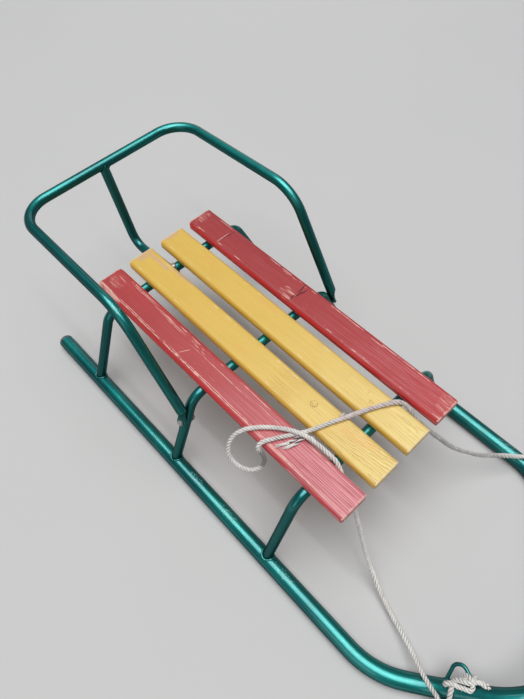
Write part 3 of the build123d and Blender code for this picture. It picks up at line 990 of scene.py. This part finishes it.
def growthLines(along, across, knot, look, wobble):
    apex, middle, depth, slope, opening, spacing, start, end, strength = look
    off = minus(across, middle)
    bent = calc("SQRT", plus(times(off, off), depth * depth))
    away = minus(along, apex)
    opened = plus(times(calc("ABSOLUTE", away), opening), 1)
    field = minus(calc("DIVIDE", bent, opened), times(away, slope), times(knot, 0.006))
    waves = calc("SINE", times(plus(field, times(wobble, spacing * 1.9)), math.tau / spacing))
    shown = times(between(along, start, start + 0.025), between(along, end, end - 0.025))
    return times(between(waves, 0.6, 1), shown, strength)


# Two broken rings of a knot in the wood
def knotRings(local, look):
    knotAlong, knotAcross, size, shown = look["knot"]
    far = plus(farFrom(local, (0.85, 1, 0), (knotAlong, knotAcross, 0)), times(grainy(local, 260, 2), 0.0045))
    broken = scaled(grainy(local, 190, 2), 0.42, 0.54, 0.15, shown)
    rings = []
    for share, amount in ((0.72, 0.85), (0.36, 0.5)):
        off = calc("ABSOLUTE", minus(far, size * share + 0.0022))
        rings.append(times(between(off, 0.0011, 0.0003), amount, broken))
    return rings


# Pale lines along the arrises, partly paint rubbed through and partly painted highlight: a thin wandering line, broken,
# and a fainter one inside it
def arrisWearAndHighlight(local, across, look):
    lines = []
    for sign, wear in zip((-1, 1), look["edges"]):
        for inside, shift, thick, rarer in slatFinish["arrisLines"]:
            wander = minus(streaky(local, (30, 0, 0), centre=(shift, 0, 0)), 0.5)
            width = streaky(local, (75, 0, 0), 3, 0.6, (shift, 0, 0))
            middle = plus(times(wander, slatFinish["arrisWander"]), sled["arris"] - inside)
            off = calc("ABSOLUTE", minus(times(across, sign), middle))
            line = between(minus(off, scaled(width, 0.35, 0.7, 0, 0.0009 * thick)), 0.00045, -0.0001)
            breaks = streaky(local, (26, 90, 0), 4, 0.6, (shift, 0.3 * sign, 0))
            low = 0.66 - 0.3 * wear + rarer
            lines.append(times(line, between(breaks, low, low + 0.06)))
    return lines


# The slat's own marks, by kind
def ownMarks(local, wobble, look):
    rubbing = streaky(local, (70, 330, 330), 4, 0.65, turn=-2)
    combed = streaky(local, (26, 560, 300), 3, 0.55, turn=1)
    sway = node("CombineXYZ", {1: times(minus(wobble, 0.5), 0.003)}).outputs[0]
    swaying = vector("ADD", local, sway).outputs[0]
    kinds = {
        "pale": (local, between(rubbing, 0.36, 0.5), 0.85),
        "scraped": (local, between(combed, 0.5, 0.6), 0.75),
        "line": (swaying, between(rubbing, 0.38, 0.48), 0.7),
        "bare": (local, between(rubbing, 0.36, 0.48), 0.8),
        "dark": (swaying, between(rubbing, 0.3, 0.4), 1),
        "orange": (local, scaled(rubbing, 0.3, 0.7, 0.5, 1), 0.25),
    }
    found = {kind: [] for kind in kinds}
    for *measures, turn, kind in look["marks"]:
        along, across, length, width = [measure / 1000 for measure in measures]
        place, texture, amount = kinds[kind]
        mask = spot(place, (along, across, 0), (length, width, 0.02), turn, 0.6)
        found[kind].append(times(mask, texture, amount))
    return found


def slatPaint(name, row, look):
    material, shader, where = startMaterial(name.replace("slat_", "paint_"))
    paint = look["paint"]
    length = sled["slatLength"]
    local = vector("SUBTRACT", where, (sled["slatRear"], row, sled["slatTop"])).outputs[0]
    along, across, depth = split(local)
    # the top grows paler toward the front: partly the paint's own tone, partly painted sheen
    share = calc("POWER", calc("DIVIDE", along, length), slatFinish["fadeAndSheen"])
    cloudy = streaky(local, (12, 45, 45), 4, 0.6)
    top = mixed(share, paint["rear"], paint["front"])
    top = mixed(scaled(cloudy, 0.38, 0.75, 0, 0.3), top, paint["dark"])
    side = mixed(scaled(cloudy, 0.4, 0.7, 0, 0.35), paint["side"], paint["dark"])
    base = mixed(between(depth, *slatFinish["topToSide"]), top, side)

    # fine grain along the slat, pale and dark
    lines = streaky(local, (8, 820, 200), 2, turn=0.6)
    patches = scaled(streaky(local, (16, 60, 60), 2, centre=(0.3, 0, 0)), 0.35, 0.58, 0.45, 1)
    strength = times(scaled(share, 0.12, 0.55, *look["grain"]), patches)
    base = mixed(times(between(lines, 0.51, 0.57), strength), base, paint["grainPale"])
    base = mixed(times(between(lines, 0.49, 0.43), strength, 0.8), base, paint["grainDark"])
    ridges = times(lines, plus(strength, 0.25))

    # growth lines where they show through the paint, bent round a knot
    wobble = streaky(local, (34, 110, 0))
    if "knot" in look:
        spread = slatFinish["knotSpread"]
        far = farFrom(local, (0.62 / spread, 1 / spread, 0), (*look["knot"][:2], 0))
        knot = calc("EXPONENT", times(far, far, -1))
        for rings in look["rings"]:
            mask = times(growthLines(along, across, knot, rings, wobble), scaled(patches, 0.25, 1, 0.45, 1))
            base = mixed(mask, base, paint["grainDark"])
            ridges = minus(ridges, times(mask, 0.3))
        for ring in knotRings(local, look):
            base = mixed(ring, base, paint["knot"])

    # ends rubbed in short streaks, and long fine scratches a little askew
    fromEnd = minus(length / 2, calc("ABSOLUTE", minus(along, length / 2)))
    ends = times(between(fromEnd, 0.0055, 0.001), between(depth, -0.0075, -0.001), 0.42)
    ends = between(plus(ends, streaky(local, (90, 420, 420), 3, 0.6)), 0.78, 0.9)
    fine = streaky(local, (16, 620, 200), 2, turn=2)
    groups = streaky(local, (9, 45, 45), 2, centre=(0.1, 0, 0))
    limit = 0.74 - 0.07 * look["scratches"]
    scratches = times(between(fine, limit, limit + 0.04), between(groups, 0.45, 0.58), 0.7)

    found = ownMarks(local, wobble, look)
    for kind in ("orange", "bare"):
        if found[kind]:
            base = mixed(most(*found[kind]), base, paint[kind])
    rubbed = found["pale"] + found["scraped"] + found["line"]
    # the pale worn colour also carries the painted highlight along the arrises
    worn = most(*arrisWearAndHighlight(local, across, look), times(ends, 0.85), scratches, *rubbed)
    base = mixed(worn, base, paint["worn"])
    height = minus(ridges, times(worn, 0.5))
    if found["dark"]:
        dark = most(*found["dark"])
        base = mixed(dark, base, slatFinish["crack"])
        height = minus(height, times(dark, 3))
    # darker towards the bottom of the sides, and dirt in the pores
    darkening = times(between(grainy(where, 95, 5, 0.7), 0.58, 0.74), 0.2)
    low = times(between(depth, *slatFinish["lowDarker"]), 0.45)
    feed(shader, {
        "Base Color": mixed(most(darkening, low), base, paint["dark"]),
        "Roughness": plus(scaled(cloudy, 0.3, 0.7, 0.4, 0.5), times(worn, 0.25)),
        "Normal": bumped(plus(height, times(grainy(local, 210), 0.5), times(cloudy, 1.5)), slatFinish["relief"]),
    })
    return material


for name, row in sled["rows"].items():
    dress([name], slatPaint(name, row, slatLooks[name]))
print("paint on the slats")

# Fibre of the rope: clean and pale at the near side, purple-grey over the yellow slats, grey beyond, with painted shade
# in its grooves and a painted shadow where its loop hangs beside the near red slat
ropeLook = {
    "clean": (0.93, 0.91, 0.87),
    "shade": (0.8, 0.76, 0.73),
    "grey": (0.42, 0.41, 0.4),
    "tint": (0.66, 0.53, 0.53),
    # colour of the painted shade in the grooves
    "grooveShade": (0.075, 0.065, 0.06),
    # colour and place of the painted shadow where the loop hangs beside the near red slat
    "slatShadow": (0.17, 0.17, 0.165),
    "tinted": ((0.09, 0.02, 0.18), (0.06, 0.07, 0.03)),
    "greyed": ((0.185, 0.118, 0.1), (0.15, 0.125, 0.13)),
    "slatShadowSpot": ((0.029, -0.131, 0.156), (0.016, 0.016, 0.024)),
    "fibreTurn": 0.5,
    "fibreScales": (2400, 300, 1),
    "relief": 0.0004,
}


def ropeFibre():
    material, shader, where = startMaterial("ropeFibre")
    lay = source(material.node_tree, "UVMap", uv_map="lay").outputs[0]
    out = source(material.node_tree, "Attribute", attribute_name="out").outputs["Fac"]
    turned = node("Mapping", {"Vector": lay, "Rotation": (0, 0, ropeLook["fibreTurn"])}).outputs[0]
    fibres = streaky(turned, ropeLook["fibreScales"], 3, 0.6)
    cloudy = grainy(where, 30, 4, 0.6)
    base = mixed(between(cloudy, 0.42, 0.64), ropeLook["clean"], ropeLook["shade"])
    mottled = between(grainy(where, 110, 4, 0.65), 0.38, 0.62)
    tinted = times(spot(where, *ropeLook["tinted"], 0, 0.7), scaled(mottled, 0, 1, 0.35, 0.85))
    base = mixed(tinted, base, ropeLook["tint"])
    soiled = times(between(grainy(where, 70, 4, 0.65), 0.54, 0.74), 0.35)
    far = times(spot(where, *ropeLook["greyed"], 0, 0.7), scaled(mottled, 0, 1, 0.55, 0.9))
    base = mixed(most(soiled, far), base, ropeLook["grey"])
    # painted shadow where the loop hangs beside the near red slat
    base = mixed(times(spot(where, *ropeLook["slatShadowSpot"], 0, 0.5), 0.85), base, ropeLook["slatShadow"])
    # painted shade: darker between the fibres, and deep dark between the strands where out is low
    base = mixed(scaled(fibres, 0.3, 0.55, 0.45, 0), base, ropeLook["grooveShade"])
    feed(shader, {
        "Base Color": mixed(times(between(out, 0.93, 0.66), 0.95), base, ropeLook["grooveShade"]),
        "Roughness": 0.85,
        "Specular IOR Level": 0.25,
        "Sheen Weight": 0.25,
        "Normal": bumped(fibres, ropeLook["relief"]),
    })
    return material


coat(ropePieces, ropeFibre())

# Zinc of the bolts and screws, plastic of the plugs
zinc = {"pale": (0.52, 0.52, 0.5), "dull": (0.33, 0.33, 0.32), "rust": (0.19, 0.075, 0.03)}


def zincFinish():
    material, shader, where = startMaterial("dullZinc")
    cloudy = grainy(where, 180, 4, 0.6)
    base = mixed(between(cloudy, 0.35, 0.65), zinc["pale"], zinc["dull"])
    rusty = between(grainy(where, 420, 4, 0.65), 0.55, 0.68)
    feed(shader, {
        "Base Color": mixed(times(rusty, 0.8), base, zinc["rust"]),
        "Metallic": scaled(rusty, 0, 1, 0.9, 0.1),
        "Roughness": scaled(cloudy, 0.3, 0.7, 0.34, 0.55),
        "Normal": bumped(grainy(where, 900), 0.0001),
    })
    return material


plugLook = {"base": (0.02, 0.04, 0.06), "dust": (0.15, 0.17, 0.18), "rim": (0.0085, 0.0112)}


def plugPlastic():
    material, shader, where = startMaterial("plugPlastic")
    dust = grainy(where, 120, 5, 0.7)
    # dust gathers near the rim, told by the distance from the runner's axis
    spread = vector("ABSOLUTE", where).outputs[0]
    far = farFrom(spread, (0, 1, 1), (0, sled["halfGauge"], sled["runnerRadius"]))
    rim = times(between(far, *plugLook["rim"]), 0.75, scaled(dust, 0.35, 0.6, 0.4, 1))
    dusty = most(times(between(dust, 0.48, 0.7), 0.45), rim)
    feed(shader, {
        "Base Color": mixed(dusty, plugLook["base"], plugLook["dust"]),
        "Roughness": scaled(dust, 0.3, 0.7, 0.42, 0.62),
        "Normal": bumped(grainy(where, 700), 0.00012),
    })
    return material


coat(fixings, zincFinish())
dress(["end_plug_right", "end_plug_left"], plugPlastic())
print("rope, zinc and plastic finished")

# Plain pale floor, soft light from a wide disc overhead, brighter along a line over the sled
studio = {
    "floor": ((0.6, 0.6, 0.6), (0.582, 0.582, 0.582)),
    "floorSize": 30,
    "room": 0.12,
    "backdrop": 0.72,
    "air": (0.97, 0.99, 1),
    "overhead": (2.35, 56),  # strength and how wide it looks, in degrees
    "line": ((0, -0.1, 1.8), 2.6, 0.07, 4.6),  # place, length, width, watts
    "sides": [((0.6, -2.2, 1.1), 1.2, 4.5), ((-1.6, 1.6, 1.3), 1.2, 3)],  # place, size, watts
    "aim": (0, 0, 0.1),
}


def addLamp(name, kind, energy, place, aim=None):
    data = bpy.data.lights.new(name, kind)
    data.energy = energy
    lamp = addObject(name, data)
    lamp.location = place
    if aim:
        lamp.rotation_mode = "QUATERNION"
        lamp.rotation_quaternion = (Vector(aim) - Vector(place)).to_track_quat("-Z", "Y")
    return data


def addStudio():
    bpy.ops.mesh.primitive_plane_add(size=studio["floorSize"])
    floor = bpy.context.object
    floor.name = "floor"
    material, shader, where = startMaterial("floorPaint")
    base = mixed(grainy(where, 3, 2), *studio["floor"])
    feed(shader, {"Base Color": base, "Roughness": 0.9, "Specular IOR Level": 0.1})
    floor.data.materials.append(material)
    floor.select_set(False)
    strength, wide = studio["overhead"]
    addLamp("overhead", "SUN", strength, (0, 0, 3)).angle = math.radians(wide)
    place, length, width, watts = studio["line"]
    line = addLamp("line", "AREA", watts, place)
    line.shape = "RECTANGLE"
    line.size = length
    line.size_y = width
    for place, size, watts in studio["sides"]:
        addLamp("side", "AREA", watts, place, studio["aim"]).size = size
    world = bpy.data.worlds.new("softRoom")
    world.use_nodes = True
    # the backdrop is seen pale, the room's light stays low
    seen = source(world.node_tree, "LightPath").outputs["Is Camera Ray"]
    strength = scaled(seen, 0, 1, studio["room"], studio["backdrop"])
    feed(world.node_tree.nodes["Background"], {"Color": studio["air"], "Strength": strength})
    bpy.context.scene.world = world


addStudio()
bpy.context.scene.view_settings.view_transform = "Standard"
print("floor and lamps set")
